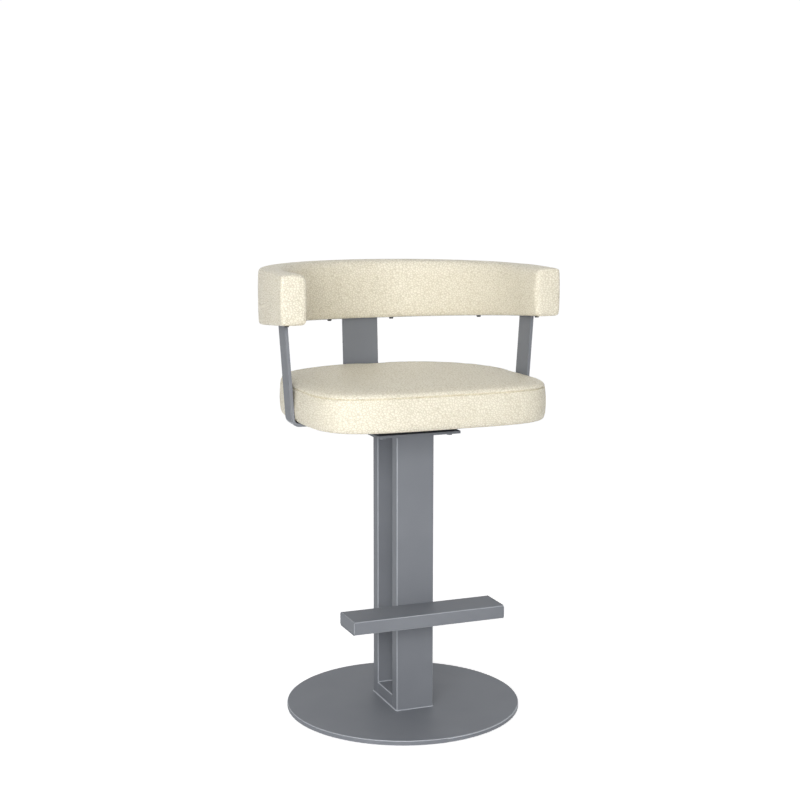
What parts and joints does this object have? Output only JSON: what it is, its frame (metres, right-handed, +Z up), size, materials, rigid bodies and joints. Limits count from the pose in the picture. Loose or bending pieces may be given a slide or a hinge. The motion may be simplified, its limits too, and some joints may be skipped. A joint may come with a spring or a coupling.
{
  "type": "swivel counter stool",
  "caption": "Swivel counter stool: round base plate, open rectangular tube column with a footrest bar, padded seat and a wrap-round padded backrest on flat steel struts.",
  "frame": {"origin": "on the floor, on the swivel's axis, which is also the middle of the round base plate", "axes": "+Z up along the swivel's axis, -Y towards the front of the stool where the sitter's legs hang, +X to the stool's right as seen from the front"},
  "size_m": [0.5576, 0.4989, 0.8669],
  "materials": {
    "painted_steel": "satin grey powder coat",
    "bright_steel": "zinc plated",
    "black_steel": "black phosphate",
    "nylon": "natural nylon",
    "rubber": "black rubber sheet",
    "plywood": "raw plywood",
    "dust_cloth": "black non-woven cloth",
    "seat_cover": "cream pebbled upholstery",
    "backrest_cover": "cream pebbled upholstery"
  },
  "bodies": {
    "pedestal": {"base_plate": "painted_steel", "base_pad": "rubber", "base_screws": "bright_steel", "anchor_block": "bright_steel", "front_post": "painted_steel", "rear_post": "painted_steel", "bottom_rail": "painted_steel", "top_plate": "painted_steel", "footrest_bar": "painted_steel", "footrest_end_plates": "painted_steel", "footrest_bolts": "bright_steel", "footrest_nuts": "bright_steel", "plate_bolts": "painted_steel", "plate_nuts": "bright_steel", "swivel_lower_plate": "black_steel", "swivel_pin": "bright_steel", "pin_washer": "bright_steel", "pin_nut": "bright_steel"},
    "ball_ring": {"ball_cage": "nylon", "swivel_balls": "bright_steel"},
    "seat": {"swivel_upper_plate": "black_steel", "swivel_bush": "nylon", "seat_bolts": "black_steel", "seat_tee_nuts": "bright_steel", "seat_frame_plate": "painted_steel", "left_strut": "painted_steel", "right_strut": "painted_steel", "back_plate": "painted_steel", "seat_board": "plywood", "dust_cover": "dust_cloth", "seat_cushion": "seat_cover", "backrest_hoop": "painted_steel", "backrest_core": "plywood", "backrest_screws": "black_steel", "backrest_pad": "backrest_cover"}
  },
  "joints": [
    {"name": "seat_swivel", "type": "hinge", "parent": "pedestal", "child": "seat", "pos_m": [0, 0, 0.57], "axis": [0, 0, 1], "continuous": true},
    {"name": "ball_travel", "type": "hinge", "parent": "pedestal", "child": "ball_ring", "pos_m": [0, 0, 0.57], "axis": [0, 0, 1], "continuous": true}
  ],
  "couplings": [
    {"joint": "ball_travel", "follows": "seat_swivel", "ratio": 0.5}
  ]
}
